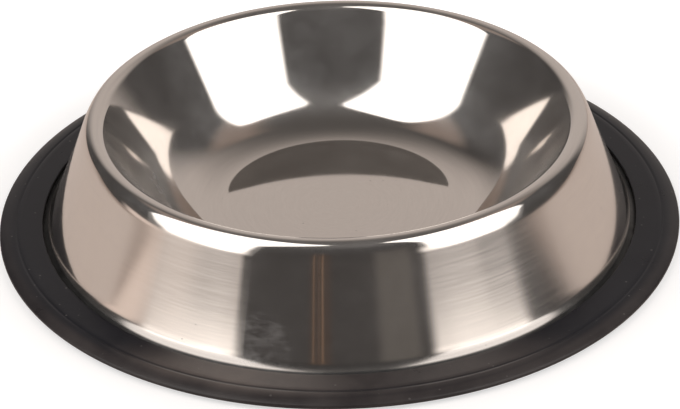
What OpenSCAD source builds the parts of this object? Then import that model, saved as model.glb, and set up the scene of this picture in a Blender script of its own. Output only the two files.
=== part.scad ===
// Low cat bowl: a pressed sheet-steel dish with a flared skirt, standing in a moulded rubber ring.
// Millimetres, +Z up. The origin is on the table under the middle of the bowl.

/* [Steel bowl] */
// Overall diameter over the rolled rim
mouth_d = 117.2; // [100:0.2:140]
// Overall height from the table to the top of the rim
height = 27.7; // [22:0.2:36]
// Thickness of the sheet
sheet_t = 0.6; // [0.4:0.1:1]
// Outside radius of the rolled rim
rim_roll_r = 2.7; // [2:0.1:4]
// Height of the food floor above the table
floor_z = 2.6; // [1.5:0.1:6]
// Radius of the sweep from the floor up into the wall
floor_sweep_r = 20.7; // [12:0.1:28]
// Lean of the inner wall from upright, in degrees
wall_draft = 33; // [20:1:40]
// Radius of the shoulder that eases the rim's roll into the skirt
skirt_shoulder_r = 14; // [6:1:20]
// Turn that the shoulder takes over from the roll, in degrees
skirt_shoulder_turn = 8.4; // [5:0.2:15]
// How much steeper the hollow skirt starts than a straight one would, in degrees
skirt_hollow = 1.8; // [1:0.1:5]

/* [Flange] */
// Width of the flat flange that the rubber grips
flange_w = 3.3; // [1.5:0.1:4]
// Radius of the bend from the skirt into the flange
flange_bend_r = 3.8; // [2.5:0.1:6]

/* [Rubber ring] */
// Overall diameter of the ring
ring_d = 160; // [146:1:180]
// Solid rubber outside the flange
rubber_outside = 5.5; // [5:0.1:8]
// Rubber between the table and the flange
rubber_under = 1.2; // [0.9:0.1:3]
// Rubber over the flange
rubber_over = 0.8; // [0.5:0.1:2]
// Reach of the lower lip inside the flange's bend line
lower_lip_w = 3.7; // [2:0.1:6]
// Clearance between the rubber and the sheet in the groove
grip_clear = 0.1; // [0.05:0.01:0.2]
// Open gap between the upper lip's edge and the skirt, at the ring's top
lip_gap = 1.1; // [0.6:0.1:1.4]
// Radius of the upper lip's edge beside the skirt
lip_edge_r = 0.2; // [0.1:0.05:0.3]
// Width of the sloping shoulder between the flat top and the nose
shoulder_w = 4.2; // [3:0.1:5]
// Radius of the nose, the ring's outermost edge
nose_r = 0.6; // [0.4:0.05:0.65]
// Height of the nose's underside above the table
nose_lift = 0.8; // [0.3:0.1:0.9]
// Distance that the foot stands back from the nose
foot_back = 2.8; // [1.5:0.1:4]
// Radius of the foot's lower edges
foot_edge_r = 0.4; // [0.1:0.05:0.6]

/* [Hidden] */
$fn = 180;
// Turn between neighbouring points of a rounded outline, in degrees
arc_step = 4;

// Rolled rim: the middle of its roll
rim_r = mouth_d / 2 - rim_roll_r;
rim_z = height - rim_roll_r;

// Inner wall: a straight lean under the rim that runs into the sweep and on into the flat floor.
// The sweep is no larger than the wall's height leaves room for.
wall_top_z = rim_z + rim_roll_r * sin(wall_draft);
sweep_r = min(floor_sweep_r, (wall_top_z - floor_z) / (1 - sin(wall_draft)));
sweep_z = floor_z + sweep_r;
floor_r = rim_r + (sweep_z - rim_z) * tan(wall_draft) - (rim_roll_r + sweep_r) / cos(wall_draft);

// Flange: its place in the rubber, and the middle of the bend that leads into it
ring_r = ring_d / 2;
flange_z = rubber_under + grip_clear + sheet_t;
flange_r = ring_r - rubber_outside;
bend_r = flange_r - flange_w;
bend_z = flange_z + flange_bend_r;

// Lean of the straight line that touches an outer round from outside and the flange's bend from inside
function touching_lean(middle, radius) =
    let (way = [bend_r, bend_z] - middle)
    atan2(way[1], way[0]) + acos((radius + flange_bend_r) / norm(way));

// Skirt: the roll runs on into the shoulder, and the shoulder into one long hollow arc that meets the flange's bend
roll_end = touching_lean([rim_r, rim_z], rim_roll_r) + skirt_shoulder_turn;
shoulder_mid = [rim_r, rim_z] + (rim_roll_r - skirt_shoulder_r) * [cos(roll_end), sin(roll_end)];
skirt_top = touching_lean(shoulder_mid, skirt_shoulder_r) - skirt_hollow;
skirt_out = [cos(skirt_top), sin(skirt_top)];
skirt_start = shoulder_mid + skirt_shoulder_r * skirt_out;
skirt_way = [bend_r, bend_z] - skirt_start;
skirt_hollow_r = (skirt_way * skirt_way - flange_bend_r ^ 2) / (2 * (skirt_way * skirt_out - flange_bend_r));
hollow_mid = skirt_start + skirt_hollow_r * skirt_out;
skirt_foot = atan2(hollow_mid[1] - bend_z, hollow_mid[0] - bend_r);

// Rubber ring: its top, its groove, and the edge of the lip, which stands back from the skirt and lies on the
// flange's bend from there on
ring_h = flange_z + grip_clear + rubber_over;
groove_r = flange_r + grip_clear;
lip_bend_r = flange_bend_r - grip_clear;
lip_edge_z = ring_h - lip_edge_r;
lip_least_r = bend_r - sqrt(lip_bend_r ^ 2 - (bend_z - lip_edge_z) ^ 2);
lip_r = max(lip_least_r, bend_r - sqrt(flange_bend_r ^ 2 - (bend_z - ring_h) ^ 2) + lip_gap);
lip_angle = 180 + acos((bend_r - lip_r) / lip_bend_r);
inner_r = bend_r - lower_lip_w;
foot_r = ring_r - foot_back;

// Shoulder: one arc that leaves the flat top level and runs smoothly into the nose
nose_run = shoulder_w - nose_r;
nose_drop = ring_h - nose_lift - nose_r;
shoulder_r = (nose_run ^ 2 + nose_drop ^ 2 - nose_r ^ 2) / (2 * (nose_drop - nose_r));
shoulder_angle = atan2(shoulder_r - nose_drop, nose_run);

// Points along an arc, from one angle to another
function arc(middle, radius, from, to) =
    let (steps = ceil(abs(to - from) / arc_step))
    [for (i = [0:steps]) let (a = from + (to - from) * i / steps) middle + radius * [cos(a), sin(a)]];

// The points of an outline that carries on from the one before it
function onward(points) = [for (i = [1:len(points) - 1]) points[i]];

function reversed(points) = [for (i = [len(points) - 1:-1:0]) points[i]];

// The sheet's half section at a depth under its polished face, from the axis out to the flange's edge
function sheet_line(depth) = concat(
    [[0, floor_z - depth]],
    arc([floor_r, sweep_z], sweep_r + depth, -90, -wall_draft),
    arc([rim_r, rim_z], rim_roll_r - depth, 180 - wall_draft, roll_end),
    onward(arc(shoulder_mid, skirt_shoulder_r - depth, roll_end, skirt_top)),
    onward(arc(hollow_mid, skirt_hollow_r + depth, 180 + skirt_top, 180 + skirt_foot)),
    onward(arc([bend_r, bend_z], flange_bend_r + depth, 180 + skirt_foot, 270)),
    [[flange_r, flange_z - depth]]
);

// Dish, rim, skirt and flange are one pressing
module steel_bowl() {
    color("#cbc8c3")
        rotate_extrude()
            polygon(concat(sheet_line(0), reversed(sheet_line(sheet_t))));
}

// Moulded ring with a groove in its inner side that snaps over the flange
module rubber_ring() {
    foot = arc([inner_r + foot_edge_r, foot_edge_r], foot_edge_r, 180, 270);
    foot_outer = arc([foot_r - foot_edge_r, foot_edge_r], foot_edge_r, -90, 0);
    nose = arc([ring_r - nose_r, nose_lift + nose_r], nose_r, -90, shoulder_angle);
    shoulder = arc([ring_r - shoulder_w, ring_h - shoulder_r], shoulder_r, shoulder_angle, 90);
    lip_edge = arc([lip_r + lip_edge_r, lip_edge_z], lip_edge_r, 90, 180);
    lip_under = arc([bend_r, bend_z], lip_bend_r, lip_angle, 270);
    groove = [[groove_r, flange_z + grip_clear], [groove_r, rubber_under], [inner_r, rubber_under]];
    color("#2c2a2b")
        rotate_extrude()
            polygon(concat(foot, foot_outer, [[foot_r, nose_lift]], nose, shoulder, lip_edge, lip_under, groove));
}

steel_bowl();
rubber_ring();
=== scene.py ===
import math
import bmesh
import bpy
from mathutils import Matrix, Vector, noise


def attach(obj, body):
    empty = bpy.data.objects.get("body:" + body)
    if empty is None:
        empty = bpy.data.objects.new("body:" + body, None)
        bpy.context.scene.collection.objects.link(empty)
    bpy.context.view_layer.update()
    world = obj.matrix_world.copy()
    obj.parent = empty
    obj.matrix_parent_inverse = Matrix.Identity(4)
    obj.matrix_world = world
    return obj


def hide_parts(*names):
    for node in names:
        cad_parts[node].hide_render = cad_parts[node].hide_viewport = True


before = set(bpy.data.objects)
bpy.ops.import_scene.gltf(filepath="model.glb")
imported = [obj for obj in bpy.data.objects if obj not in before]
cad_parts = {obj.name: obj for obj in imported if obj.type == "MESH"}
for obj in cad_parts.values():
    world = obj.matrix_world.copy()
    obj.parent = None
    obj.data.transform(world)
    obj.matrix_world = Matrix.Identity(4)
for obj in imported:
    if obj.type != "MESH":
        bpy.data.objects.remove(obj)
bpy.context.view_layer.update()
scene = bpy.context.scene

# Rubber ring: one moulding of black rubber that keeps the bowl from sliding on the floor.
# A groove in its inner side snaps over the bowl's flange. Its flat top turns over a low
# shoulder into a thin nose, and a foot that is set back under the nose stands on the table.
mm = 0.001
ring_r = 80 * mm
ring_h = 2.8 * mm
foot_inner_r = 67.5 * mm
foot_outer_r = 77.2 * mm
foot_edge_r = 0.4 * mm
nose_r = 0.6 * mm
nose_lift = 0.8 * mm
shoulder_w = 4.2 * mm
groove_r = 74.6 * mm
groove_low = 1.2 * mm
groove_high = 2.0 * mm
lip_edge_r = 0.2 * mm
lip_bend_r = 3.7 * mm
lip_gap = 1.1 * mm
lip_ragged = 0.14 * mm
flange_bend_r = 3.8 * mm
bend_r = 71.2 * mm
bend_z = 5.7 * mm
crease_outer_r = 76.35 * mm
crease_inner_r = 75.45 * mm
crease_mid_r = (crease_outer_r + crease_inner_r) / 2
crease_deep = 0.13 * mm
turn_steps = 240
merge_within = 0.001 * mm
sharp_from = 40

dark_rubber = (0.0066, 0.0068, 0.0104, 1)
pale_rubber = (0.0122, 0.0122, 0.0162, 1)
# Painted light: the brownish light that the steel skirt throws onto the front of the rubber's top and
# shoulder, painted into the rubber's colour as a lighter band
painted_light_rubber = (0.1, 0.083, 0.076, 1)
dust_on_rubber = (0.2, 0.19, 0.18, 1)
# Ranges over which the painted light sets in: towards the front, from the left, over the flat top,
# off the crease's middle, which stays darker as painted shade, and on the shoulder
painted_light_front = (54 * mm, 68 * mm)
painted_light_left = (-24 * mm, 6 * mm)
painted_light_top = (76 * mm, 79 * mm)
painted_light_off_crease = (0.15 * mm, 0.6 * mm)
painted_light_shoulder = (76.4 * mm, 78.6 * mm)
painted_light_shoulder_front = (0, 60 * mm)
mottle_range = (0.35, 0.65)


def draw_to(shape, tip, r, z, pieces=1):
    """Draws the half section on in a straight line from its tip, in one or more pieces."""
    step = Vector((r - tip.co.x, 0, z - tip.co.z)) / pieces
    for _ in range(pieces):
        tip = bmesh.ops.extrude_vert_indiv(shape, verts=[tip])["verts"][0]
        bmesh.ops.translate(shape, verts=[tip], vec=step)
    return tip


def draw_arc(shape, tip, middle, start, end, pieces):
    """Draws the half section on round a middle point, from one angle to another in degrees."""
    swept = bmesh.ops.spin(shape, geom=[tip], cent=(middle[0], 0, middle[1]), axis=(0, -1, 0),
                           angle=math.radians(end - start), steps=pieces)
    return [item for item in swept["geom_last"] if isinstance(item, bmesh.types.BMVert)][0]


def turn_about_axis(shape):
    """Turns the closed half section into a body of revolution that points outwards."""
    bmesh.ops.spin(shape, geom=shape.verts[:] + shape.edges[:], cent=(0, 0, 0), axis=(0, 0, 1),
                   angle=2 * math.pi, steps=turn_steps, use_merge=True)
    bmesh.ops.remove_doubles(shape, verts=shape.verts[:], dist=merge_within)
    bmesh.ops.recalc_face_normals(shape, faces=shape.faces[:])


def make_piece(shape, name, material):
    """Makes the finished shape an object, smooth apart from its sharp edges."""
    mesh = bpy.data.meshes.new(name)
    for face in shape.faces:
        face.smooth = True
    shape.to_mesh(mesh)
    shape.free()
    mesh.set_sharp_from_angle(angle=math.radians(sharp_from))
    mesh.materials.append(material)
    piece = bpy.data.objects.new(name, mesh)
    scene.collection.objects.link(piece)
    return piece


def set_inputs(tree, node, inputs):
    """Links or sets the inputs of a node by name or number."""
    for name, value in inputs.items():
        if isinstance(value, bpy.types.NodeSocket):
            tree.links.new(value, node.inputs[name])
        else:
            node.inputs[name].default_value = value


def add_node(tree, kind, inputs=(), **settings):
    """Adds a node with its settings and inputs."""
    node = tree.nodes.new(kind)
    for name, value in settings.items():
        setattr(node, name, value)
    set_inputs(tree, node, dict(inputs))
    return node


def math_of(tree, operation, first, second=0.0):
    return add_node(tree, "ShaderNodeMath", {0: first, 1: second}, operation=operation).outputs[0]


def times(tree, first, second):
    return math_of(tree, "MULTIPLY", first, second)


def away_from(tree, value, middle):
    """How far a value is from a middle value, on either side."""
    return math_of(tree, "ABSOLUTE", math_of(tree, "SUBTRACT", value, middle))


def vector_of(tree, operation, first, second=(0, 0, 0), result="Vector"):
    return add_node(tree, "ShaderNodeVectorMath", {0: first, 1: second}, operation=operation).outputs[result]


def parts_of(tree, vector):
    """The three parts of a vector."""
    return add_node(tree, "ShaderNodeSeparateXYZ", {0: vector}).outputs


def flat(tree, place):
    """A place with its height taken out."""
    return vector_of(tree, "MULTIPLY", place, (1, 1, 0))


def noise_of(tree, place, scale, detail=2.0, roughness=0.5):
    return add_node(tree, "ShaderNodeTexNoise", {"Vector": place, "Scale": scale, "Detail": detail,
                                                 "Roughness": roughness}).outputs[0]


def spread(tree, value, low, high, low_to, high_to, kind="LINEAR"):
    """Maps a value from one range to another and holds it at the ends."""
    return add_node(tree, "ShaderNodeMapRange", {0: value, 1: low, 2: high, 3: low_to, 4: high_to},
                    interpolation_type=kind).outputs[0]


def ease(tree, value, low, high, low_to, high_to):
    """Maps a value from one range to another, softly at both ends."""
    return spread(tree, value, low, high, low_to, high_to, kind="SMOOTHSTEP")


def mix_colours(tree, share, first, second):
    return add_node(tree, "ShaderNodeMix", {0: share, 6: first, 7: second}, data_type="RGBA").outputs[2]


def empty_tree(owner):
    """The node tree of a material, a lamp or the world, with nothing in it."""
    owner.use_nodes = True
    owner.node_tree.nodes.clear()
    return owner.node_tree


def new_material(name):
    """A material whose node tree holds only its shader, its output and the place on the piece."""
    material = bpy.data.materials.new(name)
    tree = empty_tree(material)
    shader = add_node(tree, "ShaderNodeBsdfPrincipled")
    add_node(tree, "ShaderNodeOutputMaterial", {"Surface": shader.outputs[0]})
    place = add_node(tree, "ShaderNodeTexCoord").outputs["Object"]
    return material, tree, shader, place


# Dust and specks lie on both the rubber and the steel
largest_speck = 0.3
dust = bpy.data.node_groups.new("dust_specks", "ShaderNodeTree")
dust.interface.new_socket("Place", in_out="INPUT", socket_type="NodeSocketVector")
dust.interface.new_socket("Scale", in_out="INPUT", socket_type="NodeSocketFloat")
dust.interface.new_socket("Share", in_out="INPUT", socket_type="NodeSocketFloat")
dust.interface.new_socket("Mask", in_out="OUTPUT", socket_type="NodeSocketFloat")
dust_in = add_node(dust, "NodeGroupInput")
cells = add_node(dust, "ShaderNodeTexVoronoi", {"Vector": dust_in.outputs["Place"],
                                                "Scale": dust_in.outputs["Scale"]})
cell_draw = add_node(dust, "ShaderNodeSeparateColor", {0: cells.outputs["Color"]})
chosen = math_of(dust, "LESS_THAN", cell_draw.outputs[0], dust_in.outputs["Share"])
near = math_of(dust, "LESS_THAN", cells.outputs["Distance"], times(dust, cell_draw.outputs[1], largest_speck))
add_node(dust, "NodeGroupOutput", {"Mask": times(dust, chosen, near)})

rubber, tree, shader, place = new_material("moulded_black_rubber")
mottle = noise_of(tree, place, 90, detail=5, roughness=0.6)
grain = noise_of(tree, place, 2200)
rubber_colour = mix_colours(tree, spread(tree, mottle, *mottle_range, 0, 1), dark_rubber, pale_rubber)
from_axis = vector_of(tree, "LENGTH", flat(tree, place), result="Value")
place_x, place_y, _ = parts_of(tree, place)
towards_front = times(tree, place_y, -1.0)
# Painted light thrown by the steel onto the rubber: lighter towards the front and the left, weaker across the
# flat top, held darker in the crease, and also on the shoulder at the front
painted_light_share = ease(tree, towards_front, *painted_light_front, 0, 1)
painted_light_share = times(tree, painted_light_share, ease(tree, place_x, *painted_light_left, 1, 0.45))
painted_light_share = times(tree, painted_light_share, ease(tree, from_axis, *painted_light_top, 1, 0.4))
painted_light_share = times(tree, painted_light_share, spread(tree, away_from(tree, from_axis, crease_mid_r), *painted_light_off_crease, 0.35, 1))
painted_light_on_shoulder = times(tree, ease(tree, from_axis, *painted_light_shoulder, 0, 0.4),
                      spread(tree, towards_front, *painted_light_shoulder_front, 0.3, 1))
painted_light_share = math_of(tree, "MAXIMUM", painted_light_share, painted_light_on_shoulder)
painted_light_share = times(tree, painted_light_share, spread(tree, mottle, *mottle_range, 0.65, 1))
rubber_colour = mix_colours(tree, painted_light_share, rubber_colour, painted_light_rubber)
rubber_dust = add_node(tree, "ShaderNodeGroup", {"Place": place, "Scale": 1100, "Share": 0.06},
                       node_tree=dust)
dusty = times(tree, rubber_dust.outputs["Mask"], 0.3)
grain_bump = add_node(tree, "ShaderNodeBump", {"Strength": 0.35, "Distance": 0.03 * mm, "Height": grain})
set_inputs(tree, shader, {
    "Base Color": mix_colours(tree, dusty, rubber_colour, dust_on_rubber),
    "Roughness": spread(tree, mottle, 0.3, 0.7, 0.26, 0.38),
    "Specular IOR Level": 0.26,
    "Normal": grain_bump.outputs[0]})

nose_run = shoulder_w - nose_r
nose_drop = ring_h - nose_lift - nose_r
shoulder_r = (nose_run ** 2 + nose_drop ** 2 - nose_r ** 2) / (2 * (nose_drop - nose_r))
shoulder_angle = math.degrees(math.atan2(shoulder_r - nose_drop, nose_run))
shoulder_start = ring_r - shoulder_w
crease_angle = math.degrees(math.acos((crease_outer_r - shoulder_start) / shoulder_r))
lip_edge_z = ring_h - lip_edge_r
lip_r = bend_r - math.sqrt(flange_bend_r ** 2 - (bend_z - ring_h) ** 2) + lip_gap
lip_angle = 180 + math.degrees(math.acos((bend_r - lip_r) / lip_bend_r))
lip_foot = bend_z + lip_bend_r * math.sin(math.radians(lip_angle))

ring = bmesh.new()
ring_start = (foot_inner_r, foot_edge_r)
tip = ring.verts.new((ring_start[0], 0, ring_start[1]))
tip = draw_arc(ring, tip, (foot_inner_r + foot_edge_r, foot_edge_r), 180, 270, 6)
tip = draw_to(ring, tip, foot_outer_r - foot_edge_r, 0)
tip = draw_arc(ring, tip, (foot_outer_r - foot_edge_r, foot_edge_r), -90, 0, 6)
tip = draw_to(ring, tip, foot_outer_r, nose_lift)
tip = draw_to(ring, tip, ring_r - nose_r, nose_lift)
tip = draw_arc(ring, tip, (ring_r - nose_r, nose_lift + nose_r), -90, shoulder_angle, 16)
tip = draw_arc(ring, tip, (shoulder_start, ring_h - shoulder_r), shoulder_angle, crease_angle, 12)
tip = draw_to(ring, tip, crease_mid_r, ring_h - crease_deep, pieces=2)
tip = draw_to(ring, tip, crease_inner_r, ring_h, pieces=2)
tip = draw_to(ring, tip, lip_r + lip_edge_r, ring_h, pieces=6)
tip = draw_arc(ring, tip, (lip_r + lip_edge_r, lip_edge_z), 90, 180, 6)
tip = draw_to(ring, tip, lip_r, lip_foot)
tip = draw_arc(ring, tip, (bend_r, bend_z), lip_angle, 270, 6)
tip = draw_to(ring, tip, groove_r, groove_high)
tip = draw_to(ring, tip, groove_r, groove_low)
tip = draw_to(ring, tip, foot_inner_r, groove_low)
draw_to(ring, tip, *ring_start)
turn_about_axis(ring)
lip_low = lip_edge_z - 0.01 * mm
lip_outer_r = lip_r + 1.2 * lip_edge_r
for corner in [v for v in ring.verts if v.co.z > lip_low and v.co.xy.length < lip_outer_r]:
    outward = Vector((corner.co.x, corner.co.y, 0)).normalized()
    ragged = noise.noise(outward * 55) + 0.5 * noise.noise(outward * 140)
    bmesh.ops.translate(ring, verts=[corner], vec=outward * lip_ragged * ragged)
ring_piece = make_piece(ring, "ring_of_rubber", rubber)
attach(ring_piece, "ring")
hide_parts("rubber_ring")

# Steel bowl: floor, wall, rolled rim, hollow skirt and flange are one pressing of stainless sheet.
# The dish and the rim are polished to a mirror on the wheel. The skirt keeps a fine brushed finish
# that runs round the axis. The flange at its foot sits in the ring's groove.
sheet_t = 0.6 * mm
floor_z = 2.6 * mm
sweep_r = 20.7 * mm
wall_draft = 33
rim_roll_r = 2.7 * mm
rim_mid = Vector((55.9 * mm, 25.0 * mm))
skirt_shoulder_r = 14 * mm
skirt_shoulder_turn = 8.4
skirt_hollow = 1.8
flange_mid = Vector((bend_r, bend_z))
flange_r = 74.5 * mm
flange_z = bend_z - flange_bend_r

dark_steel = (0.70, 0.652, 0.614, 1)
pale_steel = (0.735, 0.685, 0.644, 1)
# Painted dark reflection of the rubber ring on the bend at the skirt's foot
bend_painted_reflection = (0.37, 0.343, 0.323, 1)
# Painted shade in the gap between the skirt and the rubber lip
gap_painted_shade = (0.02, 0.019, 0.018, 1)
dust_on_steel = (0.16, 0.14, 0.13, 1)
# Radius at which the dish gives way to the skirt, then heights: clear of the flange, up the bend at the
# skirt's foot with its painted dark reflection of the ring, up the painted shade in the gap beside the lip,
# and up and down the film on the sweep. The painted shade in the gap climbs away from the front.
skirt_begins = (57.6 * mm, 59.6 * mm)
flange_ends = (2.0 * mm, 2.3 * mm)
bend_reflection_ends = (3.1 * mm, 4.6 * mm)
gap_shade_ends = (2.55 * mm, 2.8 * mm)
gap_shade_front = (-55 * mm, -20 * mm)
gap_shade_climb = 0.4 * mm
film_begins = (4.2 * mm, 8 * mm)
film_thins = (10 * mm, 17 * mm)
# A wiped smudge low on the skirt, left of the front
smudge_mid = (-17.5 * mm, -64.3 * mm, 6.5 * mm)
smudge_ends = (4 * mm, 10 * mm)
smudge_slant = 20
smudge_streaks = (230, 230, 560)
# Brushed lines: how close they lie, and how far they run round the axis
lines_close = 2600
lines_round = 4
lines_range = (0.3, 0.7)
lines_deep = 0.0011 * mm
wave_deep = 0.012 * mm


def lean_to(angle):
    return Vector((math.cos(math.radians(angle)), math.sin(math.radians(angle))))


def touching_lean(middle, radius):
    """Lean of the straight line that touches an outer round and, from inside, the flange's bend."""
    way = flange_mid - middle
    return math.degrees(math.atan2(way.y, way.x) + math.acos((radius + flange_bend_r) / way.length))


sweep_z = floor_z + sweep_r
wall_lean = math.radians(wall_draft)
floor_r = (rim_mid.x + (sweep_z - rim_mid.y) * math.tan(wall_lean)
           - (rim_roll_r + sweep_r) / math.cos(wall_lean))
roll_end = touching_lean(rim_mid, rim_roll_r) + skirt_shoulder_turn
shoulder_mid = rim_mid + (rim_roll_r - skirt_shoulder_r) * lean_to(roll_end)
skirt_top = touching_lean(shoulder_mid, skirt_shoulder_r) - skirt_hollow
skirt_start = shoulder_mid + skirt_shoulder_r * lean_to(skirt_top)
skirt_way = flange_mid - skirt_start
hollow_r = ((skirt_way.length_squared - flange_bend_r ** 2)
            / (2 * (skirt_way.dot(lean_to(skirt_top)) - flange_bend_r)))
hollow_mid = skirt_start + hollow_r * lean_to(skirt_top)
skirt_foot = math.degrees(math.atan2(hollow_mid.y - bend_z, hollow_mid.x - bend_r))
wall_top = rim_mid + rim_roll_r * lean_to(180 - wall_draft)
wall_foot = Vector((floor_r, sweep_z)) + (sweep_r + sheet_t) * lean_to(-wall_draft)

steel, tree, shader, place = new_material("polished_stainless_steel")
flat_place = flat(tree, place)
from_axis = vector_of(tree, "LENGTH", flat_place, result="Value")
round_x, round_y, _ = parts_of(tree, vector_of(tree, "NORMALIZE", flat_place))
_, place_y, place_z = parts_of(tree, place)
line_place = add_node(tree, "ShaderNodeCombineXYZ", {
    0: times(tree, from_axis, lines_close), 1: times(tree, place_z, lines_close),
    2: times(tree, round_x, lines_round)}).outputs[0]
lines = add_node(tree, "ShaderNodeTexNoise", {
    "Vector": line_place, "W": times(tree, round_y, lines_round), "Scale": 1,
    "Detail": 3, "Roughness": 0.6}, noise_dimensions="4D").outputs[0]

skirt_share = ease(tree, from_axis, *skirt_begins, 0, 1)
off_flange = times(tree, skirt_share, spread(tree, place_z, *flange_ends, 0, 1))
# The bend at the skirt's foot gets a painted dark reflection of the ring in its colour, and is made rougher
bend_reflection_and_rough = times(tree, off_flange, ease(tree, place_z, *bend_reflection_ends, 1, 0))
# Painted shade in the gap beside the rubber lip: a dark line low on the skirt that climbs away from the front
gap_shade_height = math_of(tree, "SUBTRACT", place_z, spread(tree, place_y, *gap_shade_front, 0, gap_shade_climb))
gap_shade_share = times(tree, off_flange, spread(tree, gap_shade_height, *gap_shade_ends, 1, 0))
sweep_share = math_of(tree, "SUBTRACT", 1.0, skirt_share)
sweep_share = times(tree, sweep_share, ease(tree, place_z, *film_begins, 0, 1))
sweep_share = times(tree, sweep_share, ease(tree, place_z, *film_thins, 1, 0.5))

smear = spread(tree, noise_of(tree, place, 60, detail=5, roughness=0.66), 0.36, 0.68, 0.4, 1)
blotch = spread(tree, noise_of(tree, place, 420, detail=3, roughness=0.6), 0.35, 0.65, 0.75, 1)
film_share = math_of(tree, "MAXIMUM", sweep_share, times(tree, skirt_share, 0.3))
film = times(tree, times(tree, smear, blotch), spread(tree, film_share, 0, 1, 0.04, 1))
from_smudge = vector_of(tree, "DISTANCE", place, smudge_mid, result="Value")
streak_place = add_node(tree, "ShaderNodeMapping", {
    "Vector": place, "Rotation": (0, math.radians(smudge_slant), 0), "Scale": smudge_streaks}).outputs[0]
streaks = noise_of(tree, streak_place, 1, detail=4, roughness=0.65)
smudge = times(tree, ease(tree, from_smudge, *smudge_ends, 1, 0), spread(tree, streaks, 0.36, 0.66, 0, 0.8))

uneven = times(tree, skirt_share, spread(tree, noise_of(tree, place, 22), 0.4, 0.6, 0, 1))
roughness = spread(tree, lines, *lines_range, 0.03, 0.055)
for share, added in ((sweep_share, 0.05), (skirt_share, 0.03), (uneven, 0.035), (bend_reflection_and_rough, 0.12)):
    roughness = math_of(tree, "ADD", roughness, times(tree, share, added))
steel_colour = mix_colours(tree, spread(tree, lines, *lines_range, 0, 1), dark_steel, pale_steel)
# Painted dark reflection of the ring on the bend at the skirt's foot
steel_colour = mix_colours(tree, bend_reflection_and_rough, steel_colour, bend_painted_reflection)
# Painted shade in the gap beside the lip
steel_colour = mix_colours(tree, gap_shade_share, steel_colour, gap_painted_shade)
steel_dust = add_node(tree, "ShaderNodeGroup", {"Place": place, "Scale": 1300, "Share": 0.012},
                      node_tree=dust)
dusty = times(tree, steel_dust.outputs["Mask"], 0.45)
wave_bump = add_node(tree, "ShaderNodeBump", {"Strength": 1.0, "Distance": wave_deep,
                                              "Height": noise_of(tree, place, 42, detail=1)})
line_depth = times(tree, lines, spread(tree, skirt_share, 0, 1, 0.06, 1))
line_bump = add_node(tree, "ShaderNodeBump", {"Strength": 1.0, "Distance": lines_deep, "Height": line_depth,
                                              "Normal": wave_bump.outputs[0]})
round_the_axis = add_node(tree, "ShaderNodeTangent", direction_type="RADIAL", axis="Z")
set_inputs(tree, shader, {
    "Base Color": mix_colours(tree, dusty, steel_colour, dust_on_steel),
    "Metallic": 1.0,
    "Roughness": roughness,
    "Anisotropic": 0.75,
    "Anisotropic Rotation": 0.25,
    "Tangent": round_the_axis.outputs[0],
    "Coat Weight": math_of(tree, "MAXIMUM", film, smudge),
    "Coat Roughness": 0.5,
    "Coat IOR": 2.6,
    "Normal": line_bump.outputs[0]})

bowl = bmesh.new()
tip = bowl.verts.new((0, 0, floor_z))
tip = draw_to(bowl, tip, floor_r, floor_z, pieces=8)
tip = draw_arc(bowl, tip, (floor_r, sweep_z), -90, -wall_draft, 40)
tip = draw_to(bowl, tip, wall_top.x, wall_top.y, pieces=6)
tip = draw_arc(bowl, tip, rim_mid, 180 - wall_draft, roll_end, 44)
tip = draw_arc(bowl, tip, shoulder_mid, roll_end, skirt_top, 12)
tip = draw_arc(bowl, tip, hollow_mid, 180 + skirt_top, 180 + skirt_foot, 16)
tip = draw_arc(bowl, tip, flange_mid, 180 + skirt_foot, 270, 16)
tip = draw_to(bowl, tip, flange_r, flange_z)
tip = draw_to(bowl, tip, flange_r, flange_z - sheet_t)
tip = draw_to(bowl, tip, bend_r, flange_z - sheet_t)
tip = draw_arc(bowl, tip, flange_mid, 270, 180 + skirt_foot, 8)
tip = draw_arc(bowl, tip, hollow_mid, 180 + skirt_foot, 180 + skirt_top, 8)
tip = draw_arc(bowl, tip, shoulder_mid, skirt_top, roll_end, 5)
tip = draw_arc(bowl, tip, rim_mid, roll_end, 180 - wall_draft, 16)
tip = draw_to(bowl, tip, wall_foot.x, wall_foot.y, pieces=3)
tip = draw_arc(bowl, tip, (floor_r, sweep_z), -wall_draft, -90, 16)
tip = draw_to(bowl, tip, 0, floor_z - sheet_t, pieces=4)
turn_about_axis(bowl)
bowl_piece = make_piece(bowl, "bowl_of_steel", steel)
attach(bowl_piece, "bowl")
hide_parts("steel_bowl")

# Floor: a wide sheet of white paper under the bowl. It keeps the bowl's soft shadow, and metal
# mirrors it as a warm grey. It lies a hair under the ring's foot and is clear from below, so that
# the part's underside can be seen.
paper_size = 12.0
paper_drop = 0.02 * mm
paper_colour = (0.48, 0.46, 0.45, 1)
white = (1, 1, 1, 1)
mirrored_tint = (1, 0.75, 0.62, 1)
mirrored_lift = 0.25
shadow_ends = (78 * mm, 115 * mm)
shadow_white = 0.6
paper = bpy.data.materials.new("white_paper")
tree = empty_tree(paper)
seen = add_node(tree, "ShaderNodeLightPath").outputs
mirrored = math_of(tree, "MAXIMUM", seen["Is Glossy Ray"], seen["Is Transmission Ray"])
paper_place = add_node(tree, "ShaderNodeTexCoord").outputs["Object"]
from_bowl = vector_of(tree, "LENGTH", paper_place, result="Value")
whiteness = ease(tree, from_bowl, *shadow_ends, shadow_white, 1)
lift = math_of(tree, "MAXIMUM", times(tree, seen["Is Camera Ray"], whiteness),
               times(tree, mirrored, mirrored_lift))
paper_glow = add_node(tree, "ShaderNodeEmission", {
    "Color": mix_colours(tree, mirrored, white, mirrored_tint), "Strength": lift})
paper_face = add_node(tree, "ShaderNodeBsdfDiffuse", {"Color": paper_colour})
paper_sum = add_node(tree, "ShaderNodeAddShader", {0: paper_glow.outputs[0], 1: paper_face.outputs[0]})
from_below = add_node(tree, "ShaderNodeNewGeometry").outputs["Backfacing"]
clear = add_node(tree, "ShaderNodeBsdfTransparent")
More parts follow.
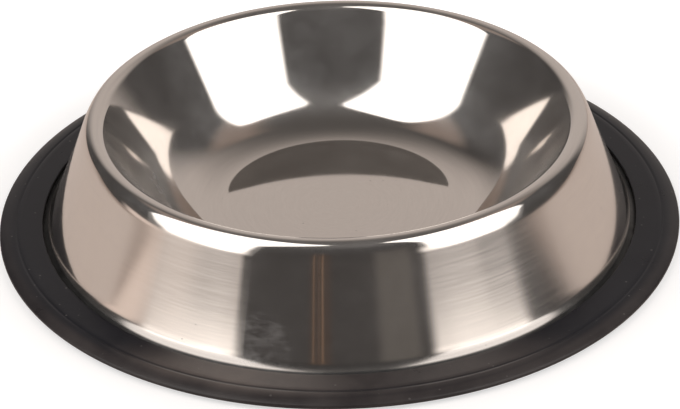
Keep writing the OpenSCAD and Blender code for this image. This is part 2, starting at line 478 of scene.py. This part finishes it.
paper_side = add_node(tree, "ShaderNodeMixShader", {
    0: from_below, 1: paper_sum.outputs[0], 2: clear.outputs[0]})
add_node(tree, "ShaderNodeOutputMaterial", {"Surface": paper_side.outputs[0]})
sheet = bmesh.new()
bmesh.ops.create_grid(sheet, x_segments=1, y_segments=1, size=paper_size / 2)
bmesh.ops.translate(sheet, verts=sheet.verts[:], vec=(0, 0, -paper_drop))
floor_piece = make_piece(sheet, "floor", paper)

# Studio: dark walls round the bowl, with a pale backdrop behind it and low pale boards in front.
# Only reflections and soft light meet them, never the camera. Headings are in degrees from the
# camera's side, and heights are the upward part of the way from the bowl to the wall.
shell_r = 3.0
dark_wall = (0.06, 0.056, 0.054, 1)
dark_ceiling = (0.11, 0.103, 0.098, 1)
ceiling_begins = (0.6, 0.95)
backdrop = (0.575, 0.52, 0.485, 1)
backdrop_heading = 171
backdrop_ends = (0.62, 0.95)
backdrop_top = (0.5, 0.97)
# Boards: heading, half turn, blur, height and colour
boards = (
    (-80, 18, 5, 0.08, (0.95, 0.79, 0.70, 1)),
    (-57, 17.5, 1.5, 0.28, (0.54, 0.495, 0.465, 1)),
    (-68, 9, 6, 0.28, (0.72, 0.64, 0.59, 1)),
    (46, 12, 2, 0.28, (0.41, 0.382, 0.365, 1)),
    (64, 8, 5, 0.28, (0.23, 0.215, 0.207, 1)))
# The upper part of the boards is lit by the lamps above. Its lower edge slopes down to the sides.
lit_board = (1.5, 1.41, 1.33, 1)
lit_left = (-57, 18.5, 3, 0.3)
lit_right = (52, 18.5, 3, 0.3)
lit_begins = (0.27, 0.3)
lit_slope = 0.158
# A weak warm glow high on either side
glow_headings = (-113, 111)
glow_ends = (0.86, 0.98)
glow_begins = (0.66, 0.78)
glow_stops = (0.86, 0.95)
warm_glow = (0.29, 0.235, 0.205, 1)
# Upright strips in the dark gap between the lamps: heading, half turn and colour
gap_top = (0.3, 0.48)
strips = (
    (21.0, 8.0, (0.125, 0.115, 0.105, 1)),
    (-8.0, 4.4, (0.075, 0.057, 0.048, 1)),
    (-10.6, 0.3, (0.2, 0.13, 0.085, 1)),
    (-7.2, 0.35, (0.24, 0.155, 0.1, 1)),
    (-8.6, 0.2, (0.15, 0.1, 0.07, 1)))

walls = bpy.data.materials.new("studio_walls")
tree = empty_tree(walls)
wall_place = add_node(tree, "ShaderNodeTexCoord").outputs["Object"]
_, _, way_up = parts_of(tree, vector_of(tree, "NORMALIZE", wall_place))
level_way = vector_of(tree, "NORMALIZE", flat(tree, wall_place))
level_x, level_y, _ = parts_of(tree, level_way)
wall_heading = math_of(tree, "ARCTAN2", level_x, times(tree, level_y, -1.0))


def facing(heading):
    """How nearly a point of the wall lies in a heading."""
    turn = math.radians(heading)
    return vector_of(tree, "DOT_PRODUCT", level_way, (math.sin(turn), -math.cos(turn), 0), result="Value")


def within(heading, inner, outer):
    """Whether a point of the wall lies near a heading: fully up to one turn, not at all past another."""
    off = away_from(tree, wall_heading, math.radians(heading))
    return ease(tree, off, math.radians(inner), math.radians(outer), 1, 0)


def board(heading, half_turn, blur, top):
    """How much a point of the wall shows of a board that stands low in a heading."""
    return times(tree, within(heading, half_turn - blur, half_turn + blur),
                 ease(tree, way_up, 0.8 * top, 1.2 * top, 1, 0))


wall_colour = mix_colours(tree, ease(tree, way_up, *ceiling_begins, 0, 1), dark_wall, dark_ceiling)
behind = times(tree, ease(tree, facing(backdrop_heading), *backdrop_ends, 0, 1),
               ease(tree, way_up, *backdrop_top, 1, 0))
wall_colour = mix_colours(tree, behind, wall_colour, backdrop)
for heading, half_turn, blur, top, colour in boards:
    wall_colour = mix_colours(tree, board(heading, half_turn, blur, top), wall_colour, colour)
lit_height = math_of(tree, "ADD", way_up, times(tree, math_of(tree, "ABSOLUTE", wall_heading), lit_slope))
lit = times(tree, ease(tree, lit_height, *lit_begins, 0, 1),
            math_of(tree, "MAXIMUM", board(*lit_left), board(*lit_right)))
wall_colour = mix_colours(tree, lit, wall_colour, lit_board)
for heading in glow_headings:
    glow = times(tree, ease(tree, facing(heading), *glow_ends, 0, 1), ease(tree, way_up, *glow_begins, 0, 1))
    glow = times(tree, glow, ease(tree, way_up, *glow_stops, 1, 0))
    wall_colour = mix_colours(tree, glow, wall_colour, warm_glow)
in_gap = ease(tree, way_up, *gap_top, 1, 0)
for heading, half_turn, colour in strips:
    strip = times(tree, within(heading, 0.6 * half_turn, 1.2 * half_turn), in_gap)
    wall_colour = mix_colours(tree, strip, wall_colour, colour)
wall_glow = add_node(tree, "ShaderNodeEmission", {"Color": wall_colour, "Strength": 1.0})
add_node(tree, "ShaderNodeOutputMaterial", {"Surface": wall_glow.outputs[0]})
shell = bmesh.new()
bmesh.ops.create_uvsphere(shell, u_segments=64, v_segments=32, radius=shell_r)
bmesh.ops.bisect_plane(shell, geom=shell.verts[:] + shell.edges[:] + shell.faces[:], plane_co=(0, 0, 0),
                       plane_no=(0, 0, 1), clear_inner=True)
wall_piece = make_piece(shell, "studio_shell", walls)
wall_piece.visible_camera = False

# Lamps: two tall soft boxes in front of the bowl, one on each side, with a dark gap between them.
# Both lean over the bowl. Their cloth is darker at its rounded corners, its edges and its foot.
# The camera doesn't see them.
lamp_glow = 2.1
lamp_away = 0.6
lamp_colour = (1.0, 0.97, 0.94)
# Name, heading, lean and roll in degrees, then width and the heights of foot and top in metres
lamps = (
    ("left_soft_box", -57.8, 28.5, 3.9, 0.485, 0.1, 1.0),
    ("right_soft_box", 53.6, 25.3, -8.9, 0.465, 0.1, 0.84))


def to_nearer_end(tree, value):
    """How far a value between 0 and 1 is from the nearer end."""
    return math_of(tree, "MINIMUM", value, math_of(tree, "SUBTRACT", 1.0, value))


def turned(angle, axis):
    return Matrix.Rotation(math.radians(angle), 4, axis)


for name, heading, lean, roll, width, low, high in lamps:
    lamp = bpy.data.lights.new(name, "AREA")
    lamp.shape = "RECTANGLE"
    lamp.size = width
    lamp.size_y = high - low
    lamp.energy = lamp_glow * math.pi * lamp.size * lamp.size_y
    lamp.color = lamp_colour
    tree = empty_tree(lamp)
    on_box = add_node(tree, "ShaderNodeNewGeometry").outputs["Parametric"]
    box_across, box_up, _ = parts_of(tree, on_box)
    from_side = math_of(tree, "SUBTRACT", to_nearer_end(tree, box_across),
                        spread(tree, box_up, 0.0, 0.3, 0.06, 0))
    from_end = to_nearer_end(tree, box_up)
    corner = add_node(tree, "ShaderNodeCombineXYZ", {0: spread(tree, from_side, 0.0, 0.2, 1, 0),
                                                     1: spread(tree, from_end, 0.0, 0.11, 1, 0)}).outputs[0]
    cloth = ease(tree, vector_of(tree, "LENGTH", corner, result="Value"), 0.74, 1.0, 1, 0.1)
    cloth = times(tree, cloth, spread(tree, box_up, 0.0, 0.2, 0.56, 1))
    cloth_glow = add_node(tree, "ShaderNodeEmission", {"Strength": cloth})
    add_node(tree, "ShaderNodeOutputLight", {"Surface": cloth_glow.outputs[0]})
    stand = bpy.data.objects.new(name, lamp)
    stand.matrix_world = (turned(heading, "Z") @ Matrix.Translation((0, -lamp_away, 0))
                          @ turned(90 - lean, "X") @ turned(roll, "Z")
                          @ Matrix.Translation((0, (low + high) / 2, 0)))
    stand.visible_camera = False
    scene.collection.objects.link(stand)

# World: plain white behind everything, for the camera and for what metal mirrors. It lights the
# bowl only weakly.
sky_light = 0.2
world = bpy.data.worlds.new("white_room")
scene.world = world
tree = empty_tree(world)
seen = add_node(tree, "ShaderNodeLightPath").outputs
mirrored = math_of(tree, "MAXIMUM", seen["Is Glossy Ray"], seen["Is Transmission Ray"])
shown = math_of(tree, "MAXIMUM", seen["Is Camera Ray"], mirrored)
sky = add_node(tree, "ShaderNodeBackground", {
    "Color": white, "Strength": spread(tree, shown, 0, 1, sky_light, 1)})
add_node(tree, "ShaderNodeOutputWorld", {"Surface": sky.outputs[0]})
scene.view_settings.view_transform = "Standard"

# Camera: a short telephoto lens in front of the bowl that looks down at it. The angles are in radians.
camera_rise = 0.5517
camera_roll = -0.0274
camera_away = 569.1 * mm
aim = Vector((0, 0, 0.8 * mm))
camera_spot = aim + camera_away * Vector((0, -math.cos(camera_rise), math.sin(camera_rise)))
lens = bpy.data.cameras.new("camera")
lens.sensor_width = 36
lens.lens = 127.05
lens.shift_x = 0.0014
lens.shift_y = 0.0074
camera = bpy.data.objects.new("camera", lens)
camera.matrix_world = (Matrix.Translation(camera_spot) @ Matrix.Rotation(math.pi / 2 - camera_rise, 4, "X")
                       @ Matrix.Rotation(camera_roll, 4, "Z"))
scene.collection.objects.link(camera)
scene.camera = camera
